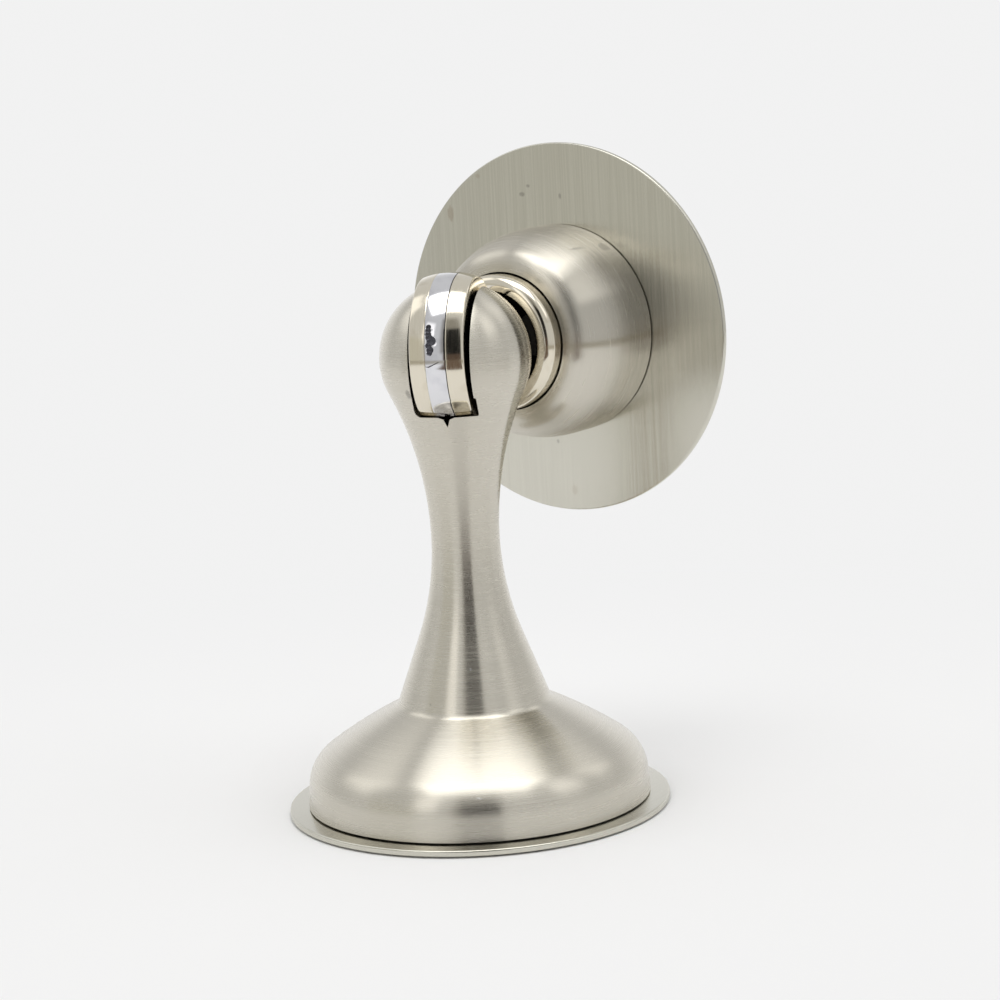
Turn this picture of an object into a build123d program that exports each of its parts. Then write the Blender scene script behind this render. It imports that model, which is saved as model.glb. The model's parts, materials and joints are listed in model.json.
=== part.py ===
from build123d import *
import os
from math import asin, atan2, cos, hypot, radians, sin, sqrt

# Magnetic door stop in millimetres, Z up, origin on the stem's axis under the floor half.
# The door half lies towards +Y. Up the stem, the skirt's heights are above the floor plate, the
# neck's is above the crease and the ball's above the neck. Heights on the door half are in front
# of the door plate.

# Round mounting plates, the same on both halves, with an adhesive disc and a weld stud each
PLATE_D = 53.4
PLATE_T = 0.8
PLATE_ROUND = 0.25
TAPE_D = 51.4
TAPE_T = 0.25
STUD_D = 6.0
STUD_LENGTH = 7.8
STUD_FLANGE_D = 10.0
STUD_FLANGE_T = 1.0

# Stem shell, spun from sheet
SHEET_T = 0.5
SEAM_GAP = 0.25
SKIRT_D = 48.0
SHOULDER_D = 47.2
SHOULDER_HEIGHT = 6.0
SHOULDER_ROUND = 6.0
CROWN_BULGE = 0.4
CREASE_D = 21.5
CREASE_HEIGHT = 13.9
CREASE_ROUND = 1.5
NECK_D = 9.5
NECK_HEIGHT = 23.35
NECK_SWEEP = 40.0
BALL_D = 20.9
BALL_HEIGHT = 24.9

# Disc with a threaded boss, pressed into the skirt
STEM_BASE_T = 3.0
BOSS_D = 14.0
BOSS_WALL_ABOVE_STUD = 1.2

# Magnet wheel in the slot of the ball: two pole discs with a magnet between them on a pin, turned
# together to a ball of their own
SLOT_YAW = 21.4
SLOT_SIDE_GAP = 0.525
SLOT_FLOOR_GAP = 0.15
SLOT_CORNER = 0.9
SPLIT_WIDTH = 1.3
SPLIT_DEPTH = 1.4
SPLIT_OFFSET = 0.3
NICK_WIDTH = 0.25
NICK_HEIGHT = 2.6
NICK_ROUND = 0.2
WHEEL_D = 21.3
WHEEL_RISE = 1.05
WHEEL_BACK = 0.8
POLE_T = 2.4
POLE_ROUND = 0.35
LAYER_ROUND = 0.12
MAGNET_T = 2.75
PIN_D = 3.0

# Chip in the magnet's rim: each lobe's angle up from the back, place along the axle and half width
CHIP_DEPTH = 0.3
CHIP_LOBES = ((22.5, -0.88, 0.55), (17.5, -0.84, 0.62), (13.5, -0.50, 0.78), (7.5, -0.72, 0.65))

# Door half: dome cover, disc pressed into it and nickel-plated keeper cup
KEEPER_DROP = 0.48
DOME_D = 30.1
DOME_BASE_RIM_T = 3.0
DOME_BASE_BOSS_D = 18.0
DOME_WALL_HEIGHT = 4.5
DOME_DEPTH = 15.2
DOME_NOSE = 3.0
DOME_LAND = 0.5
OPENING_GAP = 0.2
KEEPER_D = 19.2
KEEPER_BORE_D = 14.4
KEEPER_PROUD = 3.0
KEEPER_FLOOR_T = 2.4
LIP_ROUND = 1.5
BORE_ROUND = 0.4
SEAT_GAP = 0.98

# Fits
RUNNING_FIT = 0.05
PRESS_FIT = 0.02

# Levels and sizes that follow from the driving dimensions
seat_z = TAPE_T + PLATE_T
ball_r = BALL_D / 2
neck_height = CREASE_HEIGHT + NECK_HEIGHT
ball_height = neck_height + BALL_HEIGHT
ball_z = seat_z + ball_height
wheel_r = WHEEL_D / 2
wheel_z = ball_z + WHEEL_RISE
wheel_t = 2 * POLE_T + MAGNET_T
slot_width = wheel_t + 2 * SLOT_SIDE_GAP
keeper_z = wheel_z - KEEPER_DROP
keeper_height = DOME_DEPTH + KEEPER_PROUD
dome_base_t = STUD_LENGTH - KEEPER_FLOOR_T
slot_frame = Pos(0, 0, wheel_z) * Rot(0, 0, SLOT_YAW)
wheel_frame = slot_frame * Pos(0, -WHEEL_BACK, 0)


def rise_radius():
    """Radius of the concave sweep that leaves the neck upright and runs tangent into the ball."""
    neck_r = NECK_D / 2
    return (neck_r**2 + BALL_HEIGHT**2 - ball_r**2) / (2 * (ball_r - neck_r))


def stem_inside(z):
    """Inner radius of the shell at a height on the ball or on the sweep below it."""
    sweep = rise_radius()
    ball_foot = BALL_HEIGHT * ball_r / (sweep + ball_r)
    if z > ball_z - ball_foot:
        return sqrt((ball_r - SHEET_T) ** 2 - (z - ball_z) ** 2)
    height = z - seat_z - neck_height
    return NECK_D / 2 + sweep - sqrt((sweep + SHEET_T) ** 2 - height**2)


def slot_floor():
    """Height down to which the slot is open: there the wheel's rim passes inside the sheet."""
    step = 0.02
    z = ball_z
    while True:
        rim = sqrt(max(wheel_r**2 - (wheel_z - z) ** 2, 0)) + WHEEL_BACK
        if rim + SLOT_FLOOR_GAP < stem_inside(z):
            return z
        z -= step


def head_reach(radius):
    """How far the ball head stands towards the door outside a circle about the keeper's axis."""
    yaw = radians(SLOT_YAW)
    ball_off = abs(ball_z - keeper_z)
    wheel_off = hypot(WHEEL_BACK * sin(yaw), wheel_z - keeper_z)
    ball_reach = sqrt(max(ball_r**2 - (radius - ball_off) ** 2, 0))
    wheel_reach = sqrt(max(wheel_r**2 - (radius - wheel_off) ** 2, 0)) - WHEEL_BACK * cos(yaw)
    return max(ball_reach, wheel_reach)


tip_y = head_reach(KEEPER_BORE_D / 2) + SEAT_GAP
door_y = tip_y + keeper_height
floor_frame = Plane(origin=(0, 0, seat_z))
door_frame = Plane(origin=(0, door_y, keeper_z), x_dir=(1, 0, 0), z_dir=(0, -1, 0))


def turned(section):
    """Turn a section of radius and height about the Z axis."""
    return revolve(Plane.XZ * section, Axis.Z)


def tube(outer_d, inner_d, length):
    """Ring that stands on the XY plane."""
    bottom = (Align.CENTER, Align.CENTER, Align.MIN)
    return Cylinder(outer_d / 2, length, align=bottom) - Cylinder(inner_d / 2, length, align=bottom)


def disc(diameter, length):
    """Plain disc that stands on the XY plane."""
    return Cylinder(diameter / 2, length, align=(Align.CENTER, Align.CENTER, Align.MIN))


# Mounting plate set, with the plate's front face on the XY plane


def plate():
    """Stamped disc whose front edge is slightly rounded."""
    blank = Pos(0, 0, -PLATE_T) * disc(PLATE_D, PLATE_T)
    front_edge = blank.edges().sort_by(Axis.Z)[-1]
    return fillet(front_edge, PLATE_ROUND)


def tape():
    """Adhesive disc on the back of the plate."""
    return Pos(0, 0, -PLATE_T - TAPE_T) * disc(TAPE_D, TAPE_T)


def stud():
    """Weld stud with a flat flange on the plate's front face."""
    return disc(STUD_FLANGE_D, STUD_FLANGE_T) + disc(STUD_D, STUD_LENGTH)


# Floor half


def sweep_radius():
    """Radius of the sweep below the neck, which leaves the cone enough length for the crease's fillet."""
    inset, height = (CREASE_D - NECK_D) / 2, neck_height - CREASE_HEIGHT
    cone_length = 2 * CREASE_ROUND
    return min(NECK_SWEEP, (inset**2 + height**2 - cone_length**2) / (2 * inset))


def stem_outline():
    """Outer line of the stem from below the skirt's rim to the top of the ball, as radius and height."""
    rim = Vector(SKIRT_D / 2, SEAM_GAP)
    shoulder = Vector(SHOULDER_D / 2, SHOULDER_HEIGHT)
    below_rim = rim + (rim - shoulder).normalized() * SHEET_T
    crease = Vector(CREASE_D / 2, CREASE_HEIGHT)
    neck = Vector(NECK_D / 2, neck_height)
    sweep_r = sweep_radius()
    to_sweep = Vector(NECK_D / 2 + sweep_r, neck_height) - crease
    cone_angle = atan2(to_sweep.Y, to_sweep.X) + asin(sweep_r / to_sweep.length)
    cone_length = sqrt(to_sweep.length**2 - sweep_r**2)
    cone_end = crease + Vector(cos(cone_angle), sin(cone_angle)) * cone_length
    ball = Vector(0, ball_height)
    to_rise = Vector(NECK_D / 2 + rise_radius(), neck_height) - ball

    wall = Line(below_rim, shoulder)
    crown = SagittaArc(shoulder, crease, -CROWN_BULGE)
    cone = Line(crease, cone_end)
    sweep = TangentArc(cone_end, neck, tangent=cone % 1)
    rise = TangentArc(neck, ball + to_rise.normalized() * ball_r, tangent=(0, 1))
    top = TangentArc(rise @ 1, (0, ball_height + ball_r), tangent=rise % 1)
    line = Wire([wall, crown, cone, sweep, rise, top])
    line = fillet(line.vertices().sort_by_distance(shoulder)[0], SHOULDER_ROUND)
    return fillet(line.vertices().sort_by_distance(crease)[0], CREASE_ROUND)


def slot_cut():
    """Slot over the ball from back to front, with the seam's split and a nick at the back."""
    floor = slot_floor() - wheel_z
    height = wheel_r - floor + WHEEL_RISE
    slot = Pos(0, 0, floor + height / 2) * Box(slot_width, 2 * BALL_D, height)
    low_corners = slot.edges().filter_by(Axis.Y).group_by(Axis.Z)[0]
    slot = fillet(low_corners, SLOT_CORNER)
    half = SPLIT_WIDTH / 2
    wedge = make_face(Polyline((-half, floor), (half, floor), (0, floor - SPLIT_DEPTH), close=True))
    split = Pos(SPLIT_OFFSET, 0, 0) * extrude(Plane.XZ * wedge, BALL_D)
    nick = Box(NICK_WIDTH + SLOT_CORNER, BALL_D, NICK_HEIGHT)
    nick = fillet(nick.edges().filter_by(Axis.Y).group_by(Axis.X)[-1], NICK_ROUND)
    nick_x = slot_width / 2 + (NICK_WIDTH - SLOT_CORNER) / 2
    nick = Pos(nick_x, -ball_r, floor + NICK_HEIGHT / 2) * nick
    return slot_frame * (slot + split + nick)


def axle(diameter):
    """Round bar through the ball along the wheel's axis."""
    return wheel_frame * Rot(0, 90, 0) * Cylinder(diameter / 2, 2 * BALL_D)


def stem_shell():
    """One-piece shell with a skirt trimmed flat, crease, waisted neck and slotted ball."""
    section = make_face(offset(stem_outline(), SHEET_T, side=Side.LEFT))
    trim = Pos(0, SEAM_GAP) * Rectangle(2 * SKIRT_D, SKIRT_D, align=(Align.CENTER, Align.MAX))
    shell = floor_frame * turned(section - trim)
    return shell - slot_cut() - axle(PIN_D + 2 * PRESS_FIT)


def stem_base():
    """Disc that fills the mouth of the skirt, with a boss that screws on the floor stud."""
    taper = (SKIRT_D - SHOULDER_D) / 2 / (SHOULDER_HEIGHT - SEAM_GAP)
    sheet_across = SHEET_T * hypot(1, taper)
    narrowing = max(taper * (STEM_BASE_T - SEAM_GAP), 0)
    rim_d = SKIRT_D - 2 * (narrowing + sheet_across + PRESS_FIT)
    boss_height = STUD_LENGTH + BOSS_WALL_ABOVE_STUD
    body = disc(rim_d, STEM_BASE_T) + disc(BOSS_D, boss_height)
    flange_pocket = disc(STUD_FLANGE_D + 2 * PRESS_FIT, STUD_FLANGE_T + PRESS_FIT)
    return body - flange_pocket - disc(STUD_D + 2 * PRESS_FIT, STUD_LENGTH + PRESS_FIT)


def axle_pin():
    """Pin through both cheeks, its ends ground flush with the ball."""
    return axle(PIN_D) & (Pos(0, 0, ball_z) * Sphere(ball_r))


def wheel_layer(low, thickness, low_round=0, high_round=0):
    """Slice of the wheel's ball that starts at a distance along the axle, with rounded rims."""
    high = low + thickness
    middle = low + thickness / 2
    bore_r = PIN_D / 2 + RUNNING_FIT
    start, crest, end = [Vector(sqrt(wheel_r**2 - x**2), x) for x in (low, middle, high)]
    rim = ThreePointArc(start, crest, end)
    sides = Polyline(end, (bore_r, high), (bore_r, low), start)
    section = make_face([rim, *sides.edges()])
    for corner, radius in ((start, low_round), (end, high_round)):
        if radius:
            section = fillet(section.vertices().sort_by_distance(corner)[0], radius)
    return wheel_frame * Rot(0, 90, 0) * turned(section)


def disc_magnet():
    """Magnet layer with a chip broken out of its left rim."""
    magnet = wheel_layer(-MAGNET_T / 2, MAGNET_T)
    for angle, along, half_width in CHIP_LOBES:
        lobe_r = (half_width**2 + CHIP_DEPTH**2) / (2 * CHIP_DEPTH)
        rim_r = sqrt(wheel_r**2 - along**2)
        lobe = Pos(along, CHIP_DEPTH - rim_r - lobe_r, 0) * Sphere(lobe_r)
        magnet -= wheel_frame * Rot(-angle, 0, 0) * lobe
    return magnet


# Door half, with the plate's front face on the XY plane


def dome_outline():
    """Outer line of the dome from its foot to its opening, as radius and height."""
    side_r = DOME_D / 2
    opening_r = KEEPER_D / 2 + OPENING_GAP
    nose = Vector(opening_r + DOME_LAND, DOME_DEPTH - DOME_NOSE)
    rise = nose.Y - DOME_WALL_HEIGHT
    inset = side_r - nose.X
    flank = (inset**2 + rise**2 - DOME_NOSE**2) / (2 * (inset - DOME_NOSE))
    flank_centre = Vector(side_r - flank, DOME_WALL_HEIGHT)
    flank_end = flank_centre + (nose - flank_centre).normalized() * flank

    wall = Line((side_r, SEAM_GAP), (side_r, DOME_WALL_HEIGHT))
    side = TangentArc(wall @ 1, flank_end, tangent=(0, 1))
    front = TangentArc(flank_end, (nose.X, DOME_DEPTH), tangent=side % 1)
    land = Line(front @ 1, (opening_r, DOME_DEPTH))
    return Wire([wall, side, front, land])


def dome_cover():
    """Pressed dome with a round opening in its front."""
    section = make_face(offset(dome_outline(), SHEET_T, side=Side.LEFT))
    return turned(section)


def dome_base():
    """Disc pressed into the dome, clamped between the keeper cup and the plate."""
    rim = disc(DOME_D - 2 * (SHEET_T + PRESS_FIT), DOME_BASE_RIM_T)
    body = rim + disc(DOME_BASE_BOSS_D, dome_base_t)
    flange_pocket = disc(STUD_FLANGE_D + 2 * PRESS_FIT, STUD_FLANGE_T + PRESS_FIT)
    return body - flange_pocket - disc(STUD_D + 2 * PRESS_FIT, dome_base_t)


def keeper_cup():
    """Cup with a rounded lip, screwed on the door stud."""
    body = Pos(0, 0, dome_base_t) * disc(KEEPER_D, keeper_height - dome_base_t)
    bore = Pos(0, 0, STUD_LENGTH) * disc(KEEPER_BORE_D, keeper_height)
    thread = disc(STUD_D + 2 * PRESS_FIT, keeper_height)
    cup = body - bore - thread
    lip_round = min(LIP_ROUND, 0.7 * (KEEPER_D - KEEPER_BORE_D) / 2)
    lip = cup.edges().filter_by(GeomType.CIRCLE).group_by(Axis.Z)[-1].sort_by(SortBy.RADIUS)
    cup = fillet(lip[-1], lip_round)
    lip = cup.edges().filter_by(GeomType.CIRCLE).group_by(Axis.Z)[-1].sort_by(SortBy.RADIUS)
    return fillet(lip[0], BORE_ROUND)


pieces = {
    "floor_tape": floor_frame * tape(),
    "floor_plate": floor_frame * plate(),
    "floor_stud": floor_frame * stud(),
    "stem_base": floor_frame * stem_base(),
    "stem_shell": stem_shell(),
    "axle_pin": axle_pin(),
    "pole_disc_left": wheel_layer(-MAGNET_T / 2 - POLE_T, POLE_T, POLE_ROUND, LAYER_ROUND),
    "disc_magnet": disc_magnet(),
    "pole_disc_right": wheel_layer(MAGNET_T / 2, POLE_T, LAYER_ROUND, POLE_ROUND),
    "door_tape": door_frame * tape(),
    "door_plate": door_frame * plate(),
    "door_stud": door_frame * stud(),
    "dome_base": door_frame * dome_base(),
    "dome_cover": door_frame * dome_cover(),
    "keeper_cup": door_frame * keeper_cup(),
}

os.makedirs("parts", exist_ok=True)
for name, solid in pieces.items():
    export_step(solid, f"parts/{name}.step")
print(f"slot floor {slot_floor():.2f}, keeper tip {tip_y:.2f}, door plate front {door_y:.2f}")
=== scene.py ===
import json
from math import asin, atan2, cos, pi, radians, sin, sqrt

import bmesh
import bpy
from mathutils import Matrix, Vector
from mathutils.geometry import intersect_line_sphere_2d


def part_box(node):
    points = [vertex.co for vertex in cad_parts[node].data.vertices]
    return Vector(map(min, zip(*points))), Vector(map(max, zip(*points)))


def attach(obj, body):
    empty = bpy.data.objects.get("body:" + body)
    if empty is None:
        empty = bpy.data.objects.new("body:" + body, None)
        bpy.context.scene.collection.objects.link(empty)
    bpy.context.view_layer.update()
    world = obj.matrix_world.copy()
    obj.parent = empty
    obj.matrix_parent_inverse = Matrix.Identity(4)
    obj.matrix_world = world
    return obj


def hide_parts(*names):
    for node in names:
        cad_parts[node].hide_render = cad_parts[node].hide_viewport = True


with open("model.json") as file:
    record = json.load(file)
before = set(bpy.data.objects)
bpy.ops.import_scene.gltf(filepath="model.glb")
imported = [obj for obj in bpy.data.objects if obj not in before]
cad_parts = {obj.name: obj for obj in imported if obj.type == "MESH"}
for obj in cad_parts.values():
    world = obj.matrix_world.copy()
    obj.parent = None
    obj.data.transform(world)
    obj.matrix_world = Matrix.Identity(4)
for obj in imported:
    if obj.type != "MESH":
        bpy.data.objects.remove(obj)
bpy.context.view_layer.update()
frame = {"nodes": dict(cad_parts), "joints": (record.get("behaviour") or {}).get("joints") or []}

# Adhesive discs: thin round pads of grey acrylic foam tape, one on the back of each plate.
# They are cut a little smaller than the plates, and their outer face is the one that sticks.


def new_material(name):
    """A material with one principled shader, as material, node tree and shader."""
    material = bpy.data.materials.new(name)
    material.use_nodes = True
    return material, material.node_tree, material.node_tree.nodes["Principled BSDF"]


def wire(tree, kind, inputs, **settings):
    """Add a node whose inputs are values or other sockets, and give its first output."""
    made = tree.nodes.new(kind)
    for name, value in settings.items():
        setattr(made, name, value)
    for key, value in inputs.items():
        if isinstance(value, bpy.types.NodeSocket):
            tree.links.new(value, made.inputs[key])
        else:
            made.inputs[key].default_value = value
    return made.outputs[0]


def calc(tree, operation, first, second=0.0):
    """A sum, product or other function of one or two numbers."""
    return wire(tree, "ShaderNodeMath", {0: first, 1: second}, operation=operation)


def stretch(tree, value, low, high, to_low=0.0, to_high=1.0):
    """A number from low to high, eased on to the range from to_low to to_high."""
    ends = {0: value, 1: low, 2: high, 3: to_low, 4: to_high}
    return wire(tree, "ShaderNodeMapRange", ends, interpolation_type="SMOOTHSTEP")


def tint(tree, share, first, second):
    """A colour between two colours."""
    made = wire(tree, "ShaderNodeMix", {0: share, 6: first, 7: second}, data_type="RGBA")
    return made.node.outputs[2]


def noise(tree, place, scale, detail=3.0):
    """Soft noise from 0 to 1 at a place."""
    return wire(tree, "ShaderNodeTexNoise", {"Vector": place, "Scale": scale, "Detail": detail})


def own_place(tree, centre=(0, 0, 0), turn=(0, 0, 0)):
    """Place on the piece, measured from a centre along turned axes."""
    here = tree.nodes.new("ShaderNodeTexCoord").outputs["Object"]
    ends = {"Vector": here, "Location": centre, "Rotation": turn}
    return wire(tree, "ShaderNodeMapping", ends, vector_type="TEXTURE")


def link(tree, socket, shader, name):
    """Join a socket to an input of a shader."""
    tree.links.new(socket, shader.inputs[name])


def vector_calc(tree, operation, *values):
    """A sum, product or other function of one to three vectors."""
    return wire(tree, "ShaderNodeVectorMath", dict(enumerate(values)), operation=operation)


def length_of(tree, vector):
    """Length of a vector."""
    return vector_calc(tree, "LENGTH", vector).node.outputs["Value"]


def blotch(tree, place, centre, size):
    """A ragged spot of a size in X, Y and Z about a centre, from 1 inside to 0 outside."""
    off = vector_calc(tree, "DIVIDE", vector_calc(tree, "SUBTRACT", place, centre), size)
    wobble = calc(tree, "SUBTRACT", noise(tree, off, 1.6, 4.0), 0.5)
    return stretch(tree, calc(tree, "ADD", length_of(tree, off), wobble), 1.0, 0.55)


def bumps(tree, shader, height, strength, depth):
    """Raise a surface by a height pattern."""
    ends = {"Strength": strength, "Distance": depth, "Height": height}
    link(tree, wire(tree, "ShaderNodeBump", ends), shader, "Normal")


def foam_tape():
    """Grey closed-cell foam, mottled and matt."""
    cell_scale, cell_bump, cell_depth = 9000.0, 0.4, 0.00003
    dark_foam, pale_foam = (0.40, 0.40, 0.38, 1), (0.60, 0.60, 0.57, 1)
    material, tree, shader = new_material("foam_tape")
    cells = noise(tree, own_place(tree), cell_scale)
    link(tree, tint(tree, cells, dark_foam, pale_foam), shader, "Base Color")
    bumps(tree, shader, cells, cell_bump, cell_depth)
    shader.inputs["Roughness"].default_value = 0.85
    return material


tape_finish = foam_tape()
for name in ("floor_tape", "door_tape"):
    frame["nodes"][name].data.materials.clear()
    frame["nodes"][name].data.materials.append(tape_finish)

# Mounting plates: two equal discs stamped from stainless sheet, with a straight brushed grain.
# Their front edge is slightly rounded by the stamping, and a weld stud stands in the middle.

plate_low, plate_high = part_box("floor_plate")
door_low, door_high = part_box("door_plate")
plate_r = plate_high.x
plate_t = plate_high.z - plate_low.z
plate_round = 0.00025
back_break = 0.00006
seat_z = plate_high.z
door_y = door_low.y
keeper_z = (door_low.z + door_high.z) / 2
floor_place = Matrix.Translation((0, 0, seat_z))
door_place = Matrix.Translation((0, door_y, keeper_z)) @ Matrix.Rotation(pi / 2, 4, "X")
merge_distance = 1e-7
sharp_edge = radians(32)


def bow(centre, start, end, steps):
    """Points after start along the arc about a centre that leads to end."""
    first, last = start - centre, end - centre
    turn = atan2(first.x * last.y - first.y * last.x, first.dot(last))
    return [centre + Matrix.Rotation(turn * i / steps, 2) @ first for i in range(1, steps + 1)]


def turned(outline, steps, closed=False):
    """Spin an outline of radius and height about the Z axis."""
    bm = bmesh.new()
    points = [bm.verts.new((p[0], 0, p[1])) for p in outline]
    pairs = list(zip(points, points[1:]))
    if closed:
        pairs.append((points[-1], points[0]))
    lines = [bm.edges.new(pair) for pair in pairs]
    bmesh.ops.spin(bm, geom=points + lines, axis=(0, 0, 1), angle=2 * pi, steps=steps, use_merge=True)
    bmesh.ops.remove_doubles(bm, verts=bm.verts, dist=merge_distance)
    bmesh.ops.recalc_face_normals(bm, faces=bm.faces)
    widest = max(bm.faces, key=lambda face: face.calc_center_median().xy.length)
    if widest.normal.xy.dot(widest.calc_center_median().xy) < 0:
        bmesh.ops.reverse_faces(bm, faces=bm.faces)
    return bm


def add_object(name, bm, place):
    """An object at the origin with the mesh in its place, shaded smooth between sharp edges."""
    bmesh.ops.transform(bm, matrix=place, verts=bm.verts)
    mesh = bpy.data.meshes.new(name)
    bm.to_mesh(mesh)
    bm.free()
    mesh.shade_smooth()
    mesh.set_sharp_from_angle(angle=sharp_edge)
    made = bpy.data.objects.new(name, mesh)
    bpy.context.scene.collection.objects.link(made)
    return made


def stand_for(piece, body, node, finish):
    """Let a piece ride on a body in the place of a node and a finish."""
    piece.data.materials.clear()
    piece.data.materials.append(finish)
    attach(piece, body)
    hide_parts(node)


def plate_mesh():
    """Disc with its front face at height 0."""
    front = Vector((plate_r - plate_round, 0))
    side = Vector((plate_r, -plate_round))
    outline = [Vector((0, 0)), front, *bow(Vector((front.x, side.y)), front, side, 5)]
    outline += [Vector((plate_r, back_break - plate_t)), Vector((plate_r - back_break, -plate_t))]
    return turned([*outline, Vector((0, -plate_t))], 256)


def smear(tree, shader, axis, turn, share):
    """Stretch the highlights along an axis of turned coordinates."""
    ends = {"Vector": axis, "Rotation": turn}
    spread = wire(tree, "ShaderNodeVectorRotate", ends, rotation_type="EULER_XYZ")
    link(tree, wire(tree, "ShaderNodeVectorTransform", {0: spread}, convert_to="WORLD"), shader, "Tangent")
    shader.inputs["Anisotropic"].default_value = share


def straight_brushed(name, turn, stains):
    """Stainless sheet whose grain runs along the Y axis of turned coordinates, with a few stains."""
    across, along, cloud_scale, cloud_share = 3200.0, 45.0, 90.0, 0.2
    grain_bump, grain_depth, spread = 0.012, 0.00002, 0.85
    dull, bright = (0.605, 0.59, 0.52, 1), (0.66, 0.645, 0.57, 1)
    worn = (0.58, 0.565, 0.495, 1)
    material, tree, shader = new_material(name)
    here = own_place(tree)
    place = own_place(tree, turn=turn)
    grain = noise(tree, vector_calc(tree, "MULTIPLY", place, (across, along, across)), 1.0, 4.0)
    grain = stretch(tree, grain, 0.3, 0.7)
    cloud = stretch(tree, noise(tree, place, cloud_scale, 2.0), 0.35, 0.7)
    steel = tint(tree, grain, dull, bright)
    steel = tint(tree, calc(tree, "MULTIPLY", cloud, cloud_share), steel, worn)
    for centre, size, share, colour in stains:
        steel = tint(tree, calc(tree, "MULTIPLY", blotch(tree, here, centre, size), share), steel, colour)
    link(tree, steel, shader, "Base Color")
    link(tree, stretch(tree, grain, 0.0, 1.0, 0.20, 0.24), shader, "Roughness")
    bumps(tree, shader, grain, grain_bump, grain_depth)
    smear(tree, shader, (1, 0, 0), (0, 0, 0), spread)
    shader.inputs["Metallic"].default_value = 1.0
    return material


rust, soot = (0.42, 0.35, 0.27, 1), (0.22, 0.21, 0.19, 1)
door_stains = (
    ((-0.0187, door_y, 0.0803), (0.0007, 0.001, 0.0014), 0.45, rust),
    ((-0.0135, door_y, 0.0858), (0.0005, 0.001, 0.0004), 0.30, rust),
    ((-0.0059, door_y, 0.0831), (0.0006, 0.001, 0.0004), 0.45, soot),
    ((-0.0048, door_y, 0.0843), (0.0004, 0.001, 0.0003), 0.40, soot),
    ((0.0006, door_y, 0.0828), (0.0003, 0.001, 0.0005), 0.40, soot),
    ((-0.0018, door_y, 0.0471), (0.0003, 0.001, 0.0004), 0.40, soot),
    ((0.0007, door_y, 0.0400), (0.0006, 0.001, 0.0009), 0.25, rust),
)
upright = (pi / 2, 0, 0)
floor_plate = add_object("brushed_floor_plate", plate_mesh(), floor_place)
floor_finish = straight_brushed("floor_grain", (0, 0, 0), ())
stand_for(floor_plate, "floor_stop", "floor_plate", floor_finish)
door_plate = add_object("brushed_door_plate", plate_mesh(), door_place)
door_finish = straight_brushed("door_grain", upright, door_stains)
stand_for(door_plate, "door_keeper", "door_plate", door_finish)

# Weld studs and pressed bases: turned mild steel, hidden inside the two halves.
# A stud is welded to each plate, and the bases screw down on them and hold the covers.


def turned_steel():
    """Bare turned steel with faint rings."""
    material, tree, shader = new_material("turned_steel")
    ring_scale = 2500.0
    dark_steel, pale_steel = (0.05, 0.048, 0.045, 1), (0.09, 0.087, 0.082, 1)
    rings = noise(tree, own_place(tree), ring_scale)
    link(tree, tint(tree, rings, dark_steel, pale_steel), shader, "Base Color")
    link(tree, stretch(tree, rings, 0.2, 0.8, 0.35, 0.55), shader, "Roughness")
    shader.inputs["Metallic"].default_value = 1.0
    return material


steel_finish = turned_steel()
for name in ("floor_stud", "stem_base", "door_stud", "dome_base"):
    frame["nodes"][name].data.materials.clear()
    frame["nodes"][name].data.materials.append(steel_finish)

# Stem shell: skirt, crease, waisted neck and ball, spun from stainless sheet and welded into one.
# It is brushed on the lathe, and the slot for the magnet wheel is sawn through the ball.

sheet_t = 0.0005
skirt_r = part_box("stem_shell")[1].x
rim_z = 0.00025
shoulder = Vector((0.0236, 0.0060))
shoulder_round = 0.006
crown_bulge = 0.0004
crease = Vector((0.01075, 0.0139))
crease_round = 0.0015
neck = Vector((0.00475, 0.03725))
neck_sweep = 0.040
ball_r = 0.01045
ball = Vector((0, 0.06215))


def meeting(start, end, centre, radius):
    """Point nearest to end where the line from start to end meets a circle."""
    found = intersect_line_sphere_2d(start, end, centre, radius, False)
    return min(found, key=lambda p: (p - end).length)


def stem_outline():
    """Outer line from the rim of the skirt to the top of the ball, above the floor plate."""
    rim = Vector((skirt_r, rim_z))
    chord = crease - shoulder
    crown_r = (chord.length_squared / 4 + crown_bulge**2) / (2 * crown_bulge)
    below = Vector((chord.y, -chord.x)).normalized() * -1
    crown = (shoulder + crease) / 2 + below * (crown_r - crown_bulge)
    to_sweep = Vector((neck.x + neck_sweep, neck.y)) - crease
    lean = atan2(to_sweep.y, to_sweep.x) + asin(neck_sweep / to_sweep.length)
    cone = Vector((cos(lean), sin(lean)))
    cone_end = crease + cone * sqrt(to_sweep.length_squared - neck_sweep**2)
    rise_r = (neck.x**2 + (ball.y - neck.y) ** 2 - ball_r**2) / (2 * (ball_r - neck.x))
    rise = Vector((neck.x + rise_r, neck.y))

    wall = (shoulder - rim).normalized()
    inside = Vector((-wall.y, wall.x)) * shoulder_round
    bend = meeting(rim + inside, shoulder + inside, crown, crown_r - shoulder_round)
    outside = Vector((cone.y, -cone.x)) * crease_round
    fold = meeting(cone_end + outside, crease + outside, crown, crown_r + crease_round)

    bend_end = crown + (bend - crown).normalized() * crown_r
    fold_start = crown + (fold - crown).normalized() * crown_r
    ball_start = ball + (rise - ball).normalized() * ball_r
    line = [rim, bend - inside]
    line += bow(bend, line[-1], bend_end, 14)
    line += bow(crown, line[-1], fold_start, 18)
    line += bow(fold, line[-1], fold - outside, 8)
    line += [line[-1].lerp(cone_end, i / 4) for i in range(1, 5)]
    line += bow(Vector((neck.x + neck_sweep, neck.y)), cone_end, neck, 24)
    line += bow(rise, neck, ball_start, 26)
    return line + bow(ball, ball_start, ball + Vector((0, ball_r)), 44)


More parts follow.
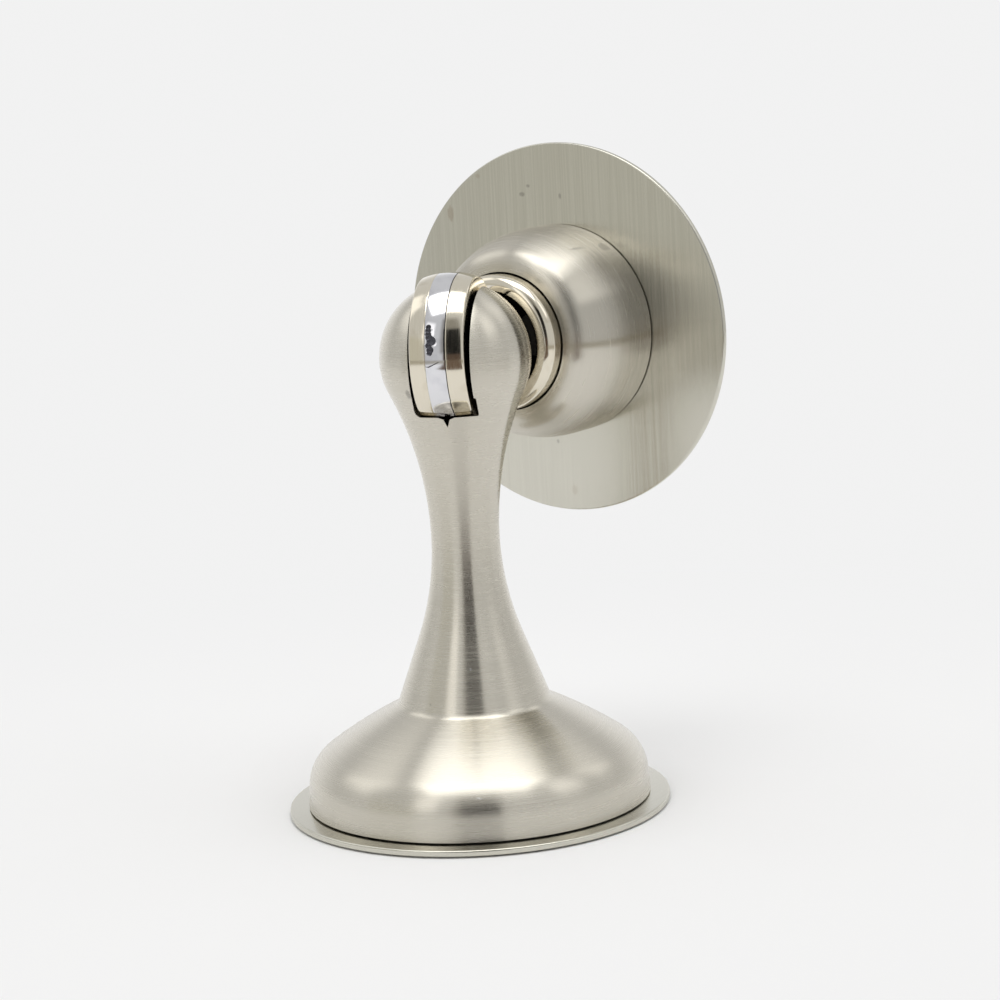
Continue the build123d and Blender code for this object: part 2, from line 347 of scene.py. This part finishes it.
def cut_away(piece, cutter):
    """Cut a closed mesh out of a piece for good."""
    saw = add_object("saw", cutter, Matrix.Identity(4))
    cut = piece.modifiers.new("cut", "BOOLEAN")
    cut.operation = "DIFFERENCE"
    cut.solver = "EXACT"
    cut.object = saw
    whole = piece.data
    shaped = piece.evaluated_get(bpy.context.evaluated_depsgraph_get())
    piece.data = bpy.data.meshes.new_from_object(shaped)
    piece.modifiers.clear()
    bpy.data.meshes.remove(whole)
    bpy.data.objects.remove(saw)


def block(size, middle):
    """Box of a size about a middle."""
    bm = bmesh.new()
    bmesh.ops.create_cube(bm, size=1.0)
    bmesh.ops.scale(bm, vec=size, verts=bm.verts)
    bmesh.ops.translate(bm, vec=middle, verts=bm.verts)
    return bm


spin_joint = next(j for j in frame["joints"] if j["name"] == "wheel_spin")
hub = Vector(spin_joint["pos_m"])
axle = Vector(spin_joint["axis"])
yaw = atan2(axle.y, axle.x)
wheel_place = Matrix.Translation(hub) @ Matrix.Rotation(yaw, 4, "Z")
slot_place = Matrix.Rotation(yaw, 4, "Z")
slot_width = 0.0086
slot_floor = 0.0560
slot_corner = 0.0009
slot_reach = 4 * ball_r
split_width, split_depth, split_offset = 0.0013, 0.0014, 0.0003
nick_width, nick_height, nick_round = 0.00025, 0.0026, 0.0002
pin_hole_r = 0.00152


def slot_saw():
    """Cutter for the slot, with its two low edges rounded."""
    height = 2 * ball_r
    bm = block((slot_width, slot_reach, height), (0, 0, slot_floor + height / 2))
    low = [e for e in bm.edges if all(v.co.z < slot_floor + merge_distance for v in e.verts)]
    low = [e for e in low if abs(e.verts[0].co.x - e.verts[1].co.x) < merge_distance]
    bmesh.ops.bevel(
        bm, geom=low, offset=slot_corner, segments=5, profile=0.5, affect="EDGES", material=-1
    )
    bmesh.ops.transform(bm, matrix=slot_place, verts=bm.verts)
    return bm


def split_saw():
    """Cutter for the V where the weld has opened under the slot, at the back."""
    bm = bmesh.new()
    lift = split_depth / 20
    corners = [(-split_width, lift), (split_width, lift), (split_width / 3, -split_depth / 5)]
    corners += [(0, -split_depth), (-split_width / 3, -split_depth / 5)]
    wedge = bm.faces.new([bm.verts.new((split_offset + x, 0, slot_floor + z)) for x, z in corners])
    made = bmesh.ops.extrude_face_region(bm, geom=[wedge])
    far = [v for v in made["geom"] if isinstance(v, bmesh.types.BMVert)]
    bmesh.ops.translate(bm, vec=(0, -slot_reach / 2, 0), verts=far)
    bmesh.ops.recalc_face_normals(bm, faces=bm.faces)
    bmesh.ops.transform(bm, matrix=slot_place, verts=bm.verts)
    return bm


def nick_saw():
    """Cutter for the step in the slot's right edge, low at the back."""
    size = (nick_width + slot_corner, slot_reach / 2, nick_height)
    reach = slot_width / 2 + nick_width
    bm = block(size, (reach - size[0] / 2, -slot_reach / 4, slot_floor + nick_height / 2))
    outer = [e for e in bm.edges if all(v.co.x > reach - merge_distance for v in e.verts)]
    outer = [e for e in outer if abs(e.verts[0].co.z - e.verts[1].co.z) < merge_distance]
    bmesh.ops.bevel(
        bm, geom=outer, offset=nick_round, segments=3, profile=0.5, affect="EDGES", material=-1
    )
    bmesh.ops.transform(bm, matrix=slot_place, verts=bm.verts)
    return bm


def pin_saw():
    """Cutter for the pin's holes in both cheeks."""
    bm = bmesh.new()
    bmesh.ops.create_cone(
        bm, segments=48, radius1=pin_hole_r, radius2=pin_hole_r, depth=slot_reach, cap_ends=True
    )
    bmesh.ops.transform(bm, matrix=wheel_place @ Matrix.Rotation(pi / 2, 4, "Y"), verts=bm.verts)
    return bm


def lathe_lines(tree, place, count, breaks, detail):
    """Fine broken rings about the Z axis of a place."""
    flat = vector_calc(tree, "MULTIPLY", place, (1, 1, 0))
    height = wire(tree, "ShaderNodeSeparateXYZ", {0: place}).node.outputs["Z"]
    along = calc(tree, "MULTIPLY", calc(tree, "SUBTRACT", height, length_of(tree, flat)), count)
    up = wire(tree, "ShaderNodeCombineXYZ", {"Z": along})
    around = vector_calc(tree, "NORMALIZE", flat)
    return noise(tree, vector_calc(tree, "MULTIPLY_ADD", around, (breaks, breaks, 0), up), 1.0, detail)


def turned_satin(name, centre, turn, marks, gloss, spread, shade_middle, shade_radius):
    """Stainless brushed on the lathe about the Z axis of turned coordinates, with a few marks.

    Within a radius of a middle it is painted near-black, as shade in the hollow inside the sheet.
    """
    fine_lines, broad_lines, fine_share = (4500.0, 2.0, 3.0), (1100.0, 0.8, 2.0), 0.7
    line_bump, line_depth, cloud_scale, cloud_share = 0.012, 0.00002, 120.0, 0.12
    dull, bright = (0.612, 0.582, 0.51, 1), (0.655, 0.623, 0.547, 1)
    # The near-black colour is painted shade, laid on everything within the radius of the middle.
    worn, shade_black, shade_blend = (0.55, 0.52, 0.45, 1), (0.03, 0.026, 0.022, 1), 0.0002
    material, tree, shader = new_material(name)
    here = own_place(tree)
    place = own_place(tree, centre, turn)
    fine = calc(tree, "MULTIPLY", lathe_lines(tree, place, *fine_lines), fine_share)
    broad = calc(tree, "MULTIPLY", lathe_lines(tree, place, *broad_lines), 1 - fine_share)
    brushed = calc(tree, "ADD", fine, broad)
    cloud = stretch(tree, noise(tree, place, cloud_scale, 2.0), 0.45, 0.75)
    steel = tint(tree, stretch(tree, brushed, 0.3, 0.7), dull, bright)
    steel = tint(tree, calc(tree, "MULTIPLY", cloud, cloud_share), steel, worn)
    for spot, size, share, colour in marks:
        steel = tint(tree, calc(tree, "MULTIPLY", blotch(tree, here, spot, size), share), steel, colour)
    # Painted shade: near-black within the radius of the middle, fading out over a fifth of a millimetre.
    inner_shade = length_of(tree, vector_calc(tree, "SUBTRACT", here, shade_middle))
    inner_shade = stretch(tree, inner_shade, shade_radius, shade_radius - shade_blend)
    link(tree, tint(tree, inner_shade, steel, shade_black), shader, "Base Color")
    link(tree, stretch(tree, brushed, 0.25, 0.75, *gloss), shader, "Roughness")
    bumps(tree, shader, brushed, line_bump, line_depth)
    smear(tree, shader, (0, 0, 1), turn, spread)
    shader.inputs["Metallic"].default_value = 1.0
    return material


fleck = (0.95, 0.94, 0.92, 1)
stem_marks = (
    ((0.00458, -0.00702, 0.02117), (0.0002, 0.0002, 0.0003), 1.0, fleck),
    ((-0.00024, -0.01007, 0.01645), (0.0002, 0.0002, 0.0002), 0.6, soot),
    ((0.00241, -0.01951, 0.01023), (0.0003, 0.0003, 0.0002), 0.8, fleck),
    ((0.01329, -0.01904, 0.00705), (0.0006, 0.0006, 0.0002), 0.6, fleck),
    ((-0.00128, -0.00958, 0.05926), (0.0006, 0.0006, 0.0009), 0.55, soot),
)
stem_bm = turned(stem_outline(), 192)
bmesh.ops.solidify(stem_bm, geom=stem_bm.faces, thickness=sheet_t)
stem = add_object("satin_stem", stem_bm, floor_place)
for saw in (slot_saw, split_saw, nick_saw, pin_saw):
    cut_away(stem, saw())
stem.data.shade_smooth()
stem.data.set_sharp_from_angle(angle=sharp_edge)
# Within this radius of the ball's centre the stem finish is painted near-black as shade: the inside of the
# ball, the inner half of the slot's cut faces and the pin inside.
ball_middle = (0, 0, seat_z + ball.y)
skin = 0.0003
stem_gloss, stem_spread = (0.24, 0.29), 0.93
stem_finish = turned_satin(
    "stem_satin", (0, 0, 0), (0, 0, 0), stem_marks, stem_gloss, stem_spread, ball_middle, ball_r - skin
)
stand_for(stem, "floor_stop", "stem_shell", stem_finish)

# Axle pin: a short steel pin pressed through both cheeks of the ball, which carries the wheel.
# Its ends are ground off flush and brushed with the ball, so it hardly shows.

frame["nodes"]["axle_pin"].data.materials.clear()
frame["nodes"]["axle_pin"].data.materials.append(stem_finish)

# Pole discs: two nickel-plated steel discs, the outer layers of the wheel in the slot.
# They are turned to a ball together with the magnet, and their outer rims are rubbed bright.

wheel_r = 0.01065
pole_t = 0.0024
magnet_t = 0.00275
pole_round, layer_round = 0.00035, 0.00012
bore_r = 0.00155
layer_turn = Matrix.Rotation(yaw, 4, "Z") @ Matrix.Rotation(pi / 2, 4, "Y")
layer_place = Matrix.Translation(hub) @ layer_turn


def layer_mesh(low, thickness, low_round, high_round):
    """Slice of a ball from a distance along the axle, with rounded rims."""
    high = low + thickness

    def corner(level, size, lift):
        middle = Vector((sqrt((wheel_r - size) ** 2 - lift**2), lift))
        return middle, Vector((middle.x, level)), middle.normalized() * wheel_r

    low_middle, low_face, low_rim = corner(low, low_round, low + low_round)
    high_middle, high_face, high_rim = corner(high, high_round, high - high_round)
    outline = [Vector((bore_r, low)), low_face, *bow(low_middle, low_face, low_rim, 6)]
    outline += bow(Vector((0, 0)), low_rim, high_rim, 14)
    outline += bow(high_middle, high_rim, high_face, 6)
    return turned([*outline, Vector((bore_r, high))], 256, closed=True)


def polished_nickel(name, centre, turn, bore_shade_r=0.0, bore_shade_top=0.0):
    """Nickel plate, faintly lined and tarnished, and painted near-black and matt within a radius below a
    height, as shade deep in a bore.
    """
    line_count, line_breaks, line_bump, line_depth = 7000.0, 3.0, 0.04, 0.00002
    tarnish_scale, tarnish_share, tarnished = 420.0, 0.3, (0.52, 0.44, 0.32, 1)
    dull, bright, spread = (0.73, 0.675, 0.56, 1), (0.80, 0.75, 0.635, 1), 0.4
    # The near-black colour and its matt roughness are painted shade for the deep part of a bore.
    bore_shade_black, bore_shade_rough, side_blend, top_blend = (0.02, 0.017, 0.014, 1), 0.6, 0.0002, 0.0006
    material, tree, shader = new_material(name)
    place = own_place(tree, centre, turn)
    lines = lathe_lines(tree, place, line_count, line_breaks, 3.0)
    tarnish = stretch(tree, noise(tree, place, tarnish_scale, 3.0), 0.52, 0.75)
    nickel = tint(tree, lines, dull, bright)
    nickel = tint(tree, calc(tree, "MULTIPLY", tarnish, tarnish_share), nickel, tarnished)
    height = wire(tree, "ShaderNodeSeparateXYZ", {0: place}).node.outputs["Z"]
    radius = length_of(tree, vector_calc(tree, "MULTIPLY", place, (1, 1, 0)))
    bore_shade = stretch(tree, radius, bore_shade_r + side_blend, bore_shade_r)
    bore_shade = calc(tree, "MULTIPLY", bore_shade, stretch(tree, height, bore_shade_top, bore_shade_top - top_blend))
    link(tree, tint(tree, bore_shade, nickel, bore_shade_black), shader, "Base Color")
    rough = stretch(tree, lines, 0.3, 0.7, 0.08, 0.17)
    rough = calc(tree, "MAXIMUM", rough, calc(tree, "MULTIPLY", bore_shade, bore_shade_rough))
    link(tree, rough, shader, "Roughness")
    bumps(tree, shader, lines, line_bump, line_depth)
    smear(tree, shader, (0, 0, 1), turn, spread)
    shader.inputs["Metallic"].default_value = 1.0
    return material


wheel_turn = layer_turn.to_euler("XYZ")[:]
pole_finish = polished_nickel("pole_nickel", hub, wheel_turn)
left_mesh = layer_mesh(-magnet_t / 2 - pole_t, pole_t, pole_round, layer_round)
left_pole = add_object("left_pole_disc", left_mesh, layer_place)
stand_for(left_pole, "magnet_wheel", "pole_disc_left", pole_finish)
right_mesh = layer_mesh(magnet_t / 2, pole_t, layer_round, pole_round)
right_pole = add_object("right_pole_disc", right_mesh, layer_place)
stand_for(right_pole, "magnet_wheel", "pole_disc_right", pole_finish)

# Disc magnet: a sintered disc between the pole discs, plated bright and brittle underneath.
# Its left rim is chipped at the back, and a fine crack runs across it below the chip.

edge_break = 0.00003
chip_depth = 0.0003
chip_lobes = (
    (24.2, -0.00086, 0.00038),
    (21.6, -0.00090, 0.00044),
    (19.0, -0.00090, 0.00046),
    (16.5, -0.00082, 0.00054),
    (14.0, -0.00050, 0.00078),
    (10.6, -0.00086, 0.00052),
    (7.4, -0.00068, 0.00056),
    (5.2, -0.00072, 0.00040),
)
spall_depth, spall_width, spall_shift, spall_turn = 0.00005, 0.00012, 0.0001, -1.2
crack_depth = 0.0003
glue_line = 0.00006
crack_line = (
    (-4.7, -0.00140, 0.00016),
    (-4.9, -0.00090, 0.00036),
    (-4.2, -0.00060, 0.00028),
    (-2.6, 0.00005, 0.00022),
    (-1.6, 0.00045, 0.00016),
    (-1.2, 0.00075, 0.00003),
)


def on_rim(angle, along, distance):
    """Point at a distance from the hub, at an angle up from the back and a place along the axle."""
    out = sqrt(distance**2 - along**2)
    return hub + axle * along + layer_spin(angle) * out


def layer_spin(angle):
    """Direction across the axle at an angle up from the back."""
    behind = Vector((axle.y, -axle.x, 0))
    return behind * cos(radians(angle)) + Vector((0, 0, sin(radians(angle))))


def chip_saw(angle, along, half_width, depth):
    """Cutter for one scallop of the chip."""
    lobe_r = (half_width**2 + depth**2) / (2 * depth)
    bm = bmesh.new()
    bmesh.ops.create_icosphere(bm, subdivisions=4, radius=lobe_r)
    bmesh.ops.translate(bm, vec=on_rim(angle, along, wheel_r + lobe_r - depth), verts=bm.verts)
    return bm


def crack_saw():
    """Cutter for the crack: a row of narrow wedges along its line."""
    bm = bmesh.new()
    rows = []
    for angle, along, width in crack_line:
        half = width / 2 / wheel_r * 180 / pi
        above, below = wheel_r + crack_depth, wheel_r - crack_depth
        sides = ((angle - half, above), (angle + half, above), (angle, below))
        rows.append([bm.verts.new(on_rim(a, along, distance)) for a, distance in sides])
    for row, after in zip(rows, rows[1:]):
        for i in range(3):
            j = (i + 1) % 3
            bm.faces.new((row[i], row[j], after[j], after[i]))
    bm.faces.new(rows[0])
    bm.faces.new(rows[-1])
    bmesh.ops.triangulate(bm, faces=bm.faces)
    bmesh.ops.recalc_face_normals(bm, faces=bm.faces)
    return bm


def bright_plating():
    """Bluish bright plate, with dark sintered grains where the rim is broken."""
    shallow, deep = wheel_r - 0.00006, wheel_r - 0.0001
    grain_scale, grain_bump, grain_depth, cloud_scale = 6000.0, 0.5, 0.00004, 500.0
    clear, dim = (0.76, 0.76, 0.785, 1), (0.68, 0.68, 0.715, 1)
    dark_grain, pale_grain = (0.03, 0.03, 0.04, 1), (0.16, 0.16, 0.18, 1)
    glue_brown = (0.05, 0.045, 0.04, 1)
    material, tree, shader = new_material("bright_plating")
    place = own_place(tree, hub, wheel_turn)
    broken = stretch(tree, length_of(tree, place), shallow, deep)
    along = wire(tree, "ShaderNodeSeparateXYZ", {0: place}).node.outputs["Z"]
    glue = stretch(tree, along, magnet_t / 2 - glue_line, magnet_t / 2 - glue_line / 2)
    grains = noise(tree, place, grain_scale, 4.0)
    cloud = stretch(tree, noise(tree, place, cloud_scale, 2.0), 0.4, 0.7)
    plate = tint(tree, glue, tint(tree, cloud, clear, dim), glue_brown)
    core = tint(tree, grains, dark_grain, pale_grain)
    link(tree, tint(tree, broken, plate, core), shader, "Base Color")
    link(tree, stretch(tree, broken, 0.0, 1.0, 0.09, 0.5), shader, "Roughness")
    bumps(tree, shader, calc(tree, "MULTIPLY", grains, broken), grain_bump, grain_depth)
    shader.inputs["Metallic"].default_value = 1.0
    return material


magnet_mesh = layer_mesh(-magnet_t / 2, magnet_t, edge_break, edge_break)
magnet = add_object("disc_magnet_layer", magnet_mesh, layer_place)
for angle, along, half_width in chip_lobes:
    spall = chip_saw(angle + spall_turn, along + spall_shift, half_width + spall_width, spall_depth)
    cut_away(magnet, spall)
for angle, along, half_width in chip_lobes:
    cut_away(magnet, chip_saw(angle, along, half_width, chip_depth))
cut_away(magnet, crack_saw())
magnet.data.shade_smooth()
magnet.data.set_sharp_from_angle(angle=sharp_edge)
stand_for(magnet, "magnet_wheel", "disc_magnet", bright_plating())

# Dome cover: pressed from stainless sheet and brushed on the lathe, with a round opening in front.
# It is clamped on the door plate by the disc inside it, with the keeper's ring in its opening.

dome_low, dome_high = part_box("dome_cover")
dome_r = dome_high.x
dome_depth = door_y - dome_low.y
dome_wall = 0.0045
nose_r = 0.003
land = 0.0005
opening_r = 0.0098


def dome_outline():
    """Outer line from the foot of the dome to the edge of its opening."""
    foot = Vector((dome_r, rim_z))
    wall_top = Vector((dome_r, dome_wall))
    nose = Vector((opening_r + land, dome_depth - nose_r))
    inset = dome_r - nose.x
    flank_r = (inset**2 + (nose.y - dome_wall) ** 2 - nose_r**2) / (2 * (inset - nose_r))
    flank = Vector((dome_r - flank_r, dome_wall))
    flank_end = flank + (nose - flank).normalized() * flank_r
    front = nose + Vector((0, nose_r))
    line = [foot, wall_top, *bow(flank, wall_top, flank_end, 26), *bow(nose, flank_end, front, 14)]
    return [*line, Vector((opening_r, dome_depth))]


dome_bm = turned(dome_outline(), 256)
bmesh.ops.solidify(dome_bm, geom=dome_bm.faces, thickness=sheet_t)
dome = add_object("satin_dome", dome_bm, door_place)
dome_marks = (
    ((0.0091, 0.0250, 0.0758), (0.0012, 0.0012, 0.0008), 0.35, soot),
    ((0.0080, 0.0197, 0.0761), (0.0006, 0.0022, 0.0002), 0.30, soot),
)
dome_centre = (0, door_y, keeper_z)
dome_gloss, dome_spread = (0.24, 0.28), 1.0
dome_finish = turned_satin(
    "dome_satin", dome_centre, upright, dome_marks, dome_gloss, dome_spread, dome_centre, opening_r - skin
)
stand_for(dome, "door_keeper", "dome_cover", dome_finish)

# Keeper cup: turned steel with a nickel plate, screwed on the door stud through the dome's disc.
# Its rounded lip stands out of the dome's opening, and the ball head nests in its bore.

keeper_low, keeper_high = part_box("keeper_cup")
keeper_r = keeper_high.x
keeper_top = door_y - keeper_low.y
keeper_foot = door_y - keeper_high.y
keeper_bore_r = 0.0072
keeper_floor = 0.0078
keeper_thread_r = 0.00302
lip_round, bore_round = 0.0015, 0.0004


def keeper_mesh():
    """Cup with a rounded lip and a threaded hole in its floor."""
    outline = [Vector((keeper_thread_r, keeper_foot)), Vector((keeper_r, keeper_foot))]
    outline.append(Vector((keeper_r, keeper_top - lip_round)))
    lip = Vector((keeper_r - lip_round, keeper_top - lip_round))
    outline += bow(lip, outline[-1], lip + Vector((0, lip_round)), 14)
    outline.append(Vector((keeper_bore_r + bore_round, keeper_top)))
    mouth = Vector((keeper_bore_r + bore_round, keeper_top - bore_round))
    outline += bow(mouth, outline[-1], mouth - Vector((bore_round, 0)), 8)
    outline += [Vector((keeper_bore_r, keeper_floor)), Vector((keeper_thread_r, keeper_floor))]
    return turned(outline, 256, closed=True)


keeper = add_object("nickel_keeper", keeper_mesh(), door_place)
# The keeper's bore, from a millimetre below the lip down to its floor, is painted near-black and matt as
# shade in the recess.
shade_below_lip, bore_shade_margin = 0.0010, 0.0001
bore_shade_top = keeper_top - shade_below_lip
bore_shade_r = keeper_bore_r + bore_shade_margin
keeper_finish = polished_nickel("keeper_nickel", dome_centre, upright, bore_shade_r, bore_shade_top)
stand_for(keeper, "door_keeper", "keeper_cup", keeper_finish)

# Studio: white paper on a brown table, which fades into a white surround, under a soft overhead light.
# Softboxes stand at both sides, and the camera's own dark shape is in front.

camera_azimuth, camera_elevation, camera_roll = radians(34.625), radians(9.925), radians(-3.117)
camera_target = Vector((0.004155, 0.002869, 0.042978))
camera_distance = 0.4
table_r = 0.5
shadow_washout = (0.025, 0.16)
paper_edge, paper_side, edge_blend, side_blend = 0.165, 0.075, 0.002, 0.02
paper_end = (0.25, 0.34)
fibre_scale, fibre_share = 700.0, 0.04
white_paper, grey_paper = (0.86, 0.86, 0.865, 1), (0.83, 0.83, 0.825, 1)
brown_wood, far_table = (0.14, 0.10, 0.075, 1), (0.40, 0.38, 0.33, 1)
surround = (0.885, 0.885, 0.885, 1)


def table_top():
    """Matt white paper, which the camera alone sees give way to an even glow of the surround from 2.5 cm
    out, a painted light that washes out the object's shadow beyond its edge.
    """
    material, tree, shader = new_material("table_top")
    place = own_place(tree)
    seen = tree.nodes.new("ShaderNodeLightPath").outputs["Is Camera Ray"]
    fibres = calc(tree, "MULTIPLY", noise(tree, place, fibre_scale, 3.0), fibre_share)
    paper = tint(tree, fibres, white_paper, grey_paper)
    turned_to_camera = {"Vector": place, "Rotation": (0, 0, camera_azimuth)}
    place = wire(tree, "ShaderNodeMapping", turned_to_camera, vector_type="TEXTURE")
    parts = wire(tree, "ShaderNodeSeparateXYZ", {0: place}).node.outputs
    off_side = calc(tree, "ABSOLUTE", parts["X"])
    unseen = calc(tree, "SUBTRACT", 1.0, seen)
    wood = stretch(tree, parts["Y"], edge_blend - paper_edge, -edge_blend - paper_edge)
    middle = stretch(tree, off_side, paper_side + side_blend, paper_side - side_blend)
    wood = calc(tree, "MULTIPLY", calc(tree, "MULTIPLY", wood, middle), unseen)
    front = stretch(tree, parts["Y"], side_blend, -side_blend)
    far = calc(tree, "MULTIPLY", stretch(tree, length_of(tree, place), *paper_end), front)
    paper = tint(tree, calc(tree, "MULTIPLY", far, unseen), paper, far_table)
    link(tree, tint(tree, wood, paper, brown_wood), shader, "Base Color")
    shader.inputs["Roughness"].default_value = 0.9
    shader.inputs["Specular IOR Level"].default_value = 0.1
    # Painted light: for camera rays the paper blends into an even glow from just outside the plates,
    # covering most of the object's cast shadow.
    share = calc(tree, "MULTIPLY", stretch(tree, length_of(tree, place), *shadow_washout), seen)
    washout_glow = wire(tree, "ShaderNodeEmission", {"Color": surround})
    faded = wire(tree, "ShaderNodeMixShader", {0: share, 1: shader.outputs[0], 2: washout_glow})
    tree.links.new(faded, tree.nodes["Material Output"].inputs["Surface"])
    return material


table_bm = bmesh.new()
bmesh.ops.create_circle(table_bm, cap_ends=True, segments=128, radius=table_r)
table = add_object("table", table_bm, Matrix.Identity(4))
table.data.materials.append(table_top())

room = bpy.data.worlds.new("studio")
room.use_nodes = True
bpy.context.scene.world = room
tree = room.node_tree
ray = tree.nodes.new("ShaderNodeTexCoord").outputs["Generated"]
facing = {"Vector": ray, "Rotation": (0, 0, camera_azimuth)}
way = wire(tree, "ShaderNodeMapping", facing, vector_type="TEXTURE")
parts = wire(tree, "ShaderNodeSeparateXYZ", {0: way}).node.outputs
bearing = calc(tree, "ARCTAN2", parts["X"], calc(tree, "MULTIPLY", parts["Y"], -1.0))
bearing = calc(tree, "DEGREES", bearing)
rise = calc(tree, "DEGREES", calc(tree, "ARCSINE", parts["Z"]))
off_axis = calc(tree, "ABSOLUTE", bearing)


def panel(light, colour, bearing_at, bearing_half, rise_low, rise_high, edge):
    """Paint a soft-edged panel of one colour over the light, by bearing from the camera and rise."""
    side = calc(tree, "ABSOLUTE", calc(tree, "SUBTRACT", bearing, bearing_at))
    across = stretch(tree, side, bearing_half + edge, bearing_half - edge)
    low = stretch(tree, rise, rise_low - edge, rise_low + edge)
    high = stretch(tree, rise, rise_high + edge, rise_high - edge)
    share = calc(tree, "MULTIPLY", across, calc(tree, "MULTIPLY", low, high))
    return tint(tree, share, light, colour)


lamp_tilt, lamp_width, lamp_depth, lamp_edge = radians(6.5), 0.47, 0.34, 0.05
to_lamp = (0, -sin(lamp_tilt), cos(lamp_tilt))
to_front = (0, -cos(lamp_tilt), -sin(lamp_tilt))
height = vector_calc(tree, "DOT_PRODUCT", way, to_lamp).node.outputs["Value"]
height = calc(tree, "MAXIMUM", height, 0.01)
across = calc(tree, "ABSOLUTE", calc(tree, "DIVIDE", parts["X"], height))
ahead = vector_calc(tree, "DOT_PRODUCT", way, to_front).node.outputs["Value"]
ahead = calc(tree, "ABSOLUTE", calc(tree, "DIVIDE", ahead, height))
lamp = stretch(tree, across, lamp_width + lamp_edge, lamp_width - lamp_edge)
lamp = calc(tree, "MULTIPLY", lamp, stretch(tree, ahead, lamp_depth + lamp_edge, lamp_depth - lamp_edge))

lamp_white, wall_grey = (2.75, 2.74, 2.71, 1), (0.65, 0.65, 0.645, 1)
back_low, back_high = (0.94, 0.94, 0.945, 1), (0.68, 0.68, 0.68, 1)
panels = {
    "softbox behind on the left": ((1.35, 1.34, 1.32, 1), -112.0, 19.0, 30.0, 58.0, 5.0),
    "softbox behind on the right": ((1.25, 1.24, 1.22, 1), 118.0, 14.0, 32.0, 54.0, 5.0),
    "softbox on the right": ((1.45, 1.44, 1.42, 1), 74.0, 13.0, 30.0, 56.0, 5.0),
    "strip light on the left": ((1.40, 1.38, 1.35, 1), -40.0, 9.0, 16.0, 45.0, 3.0),
    "olive wall on the left": ((0.60, 0.59, 0.535, 1), -62.0, 18.0, -14.0, 22.0, 4.0),
    "dim room in front": ((0.30, 0.29, 0.27, 1), -2.0, 17.0, 2.0, 54.0, 4.0),
    "camera": ((0.015, 0.015, 0.015, 1), 0.5, 13.5, -1.0, 38.0, 2.0),
    "table's brown front": ((0.10, 0.07, 0.055, 1), 0.0, 15.0, -90.0, 1.0, 2.0),
}
behind = tint(tree, stretch(tree, rise, 12.0, 30.0), back_low, back_high)
light = tint(tree, stretch(tree, off_axis, 110.0, 150.0), wall_grey, behind)
light = tint(tree, lamp, light, lamp_white)
for look in panels.values():
    light = panel(light, *look)
seen = tree.nodes.new("ShaderNodeLightPath").outputs["Is Camera Ray"]
light = tint(tree, seen, light, surround)
tree.links.new(light, tree.nodes["Background"].inputs["Color"])

lens_mm, sensor_mm = 104.18, 36.0
camera_data = bpy.data.cameras.new("camera")
camera_data.lens = lens_mm
camera_data.sensor_width = sensor_mm
camera = bpy.data.objects.new("camera", camera_data)
bpy.context.scene.collection.objects.link(camera)
level = Vector((cos(camera_azimuth), sin(camera_azimuth), 0))
back = Vector((level.y, -level.x, 0)) * cos(camera_elevation) + Vector((0, 0, sin(camera_elevation)))
side = cos(camera_roll) * level + sin(camera_roll) * back.cross(level)
stance = Matrix((side, back.cross(side), back)).transposed().to_4x4()
camera.matrix_world = Matrix.Translation(camera_target + back * camera_distance) @ stance
bpy.context.scene.camera = camera
bpy.context.scene.view_settings.view_transform = "Standard"
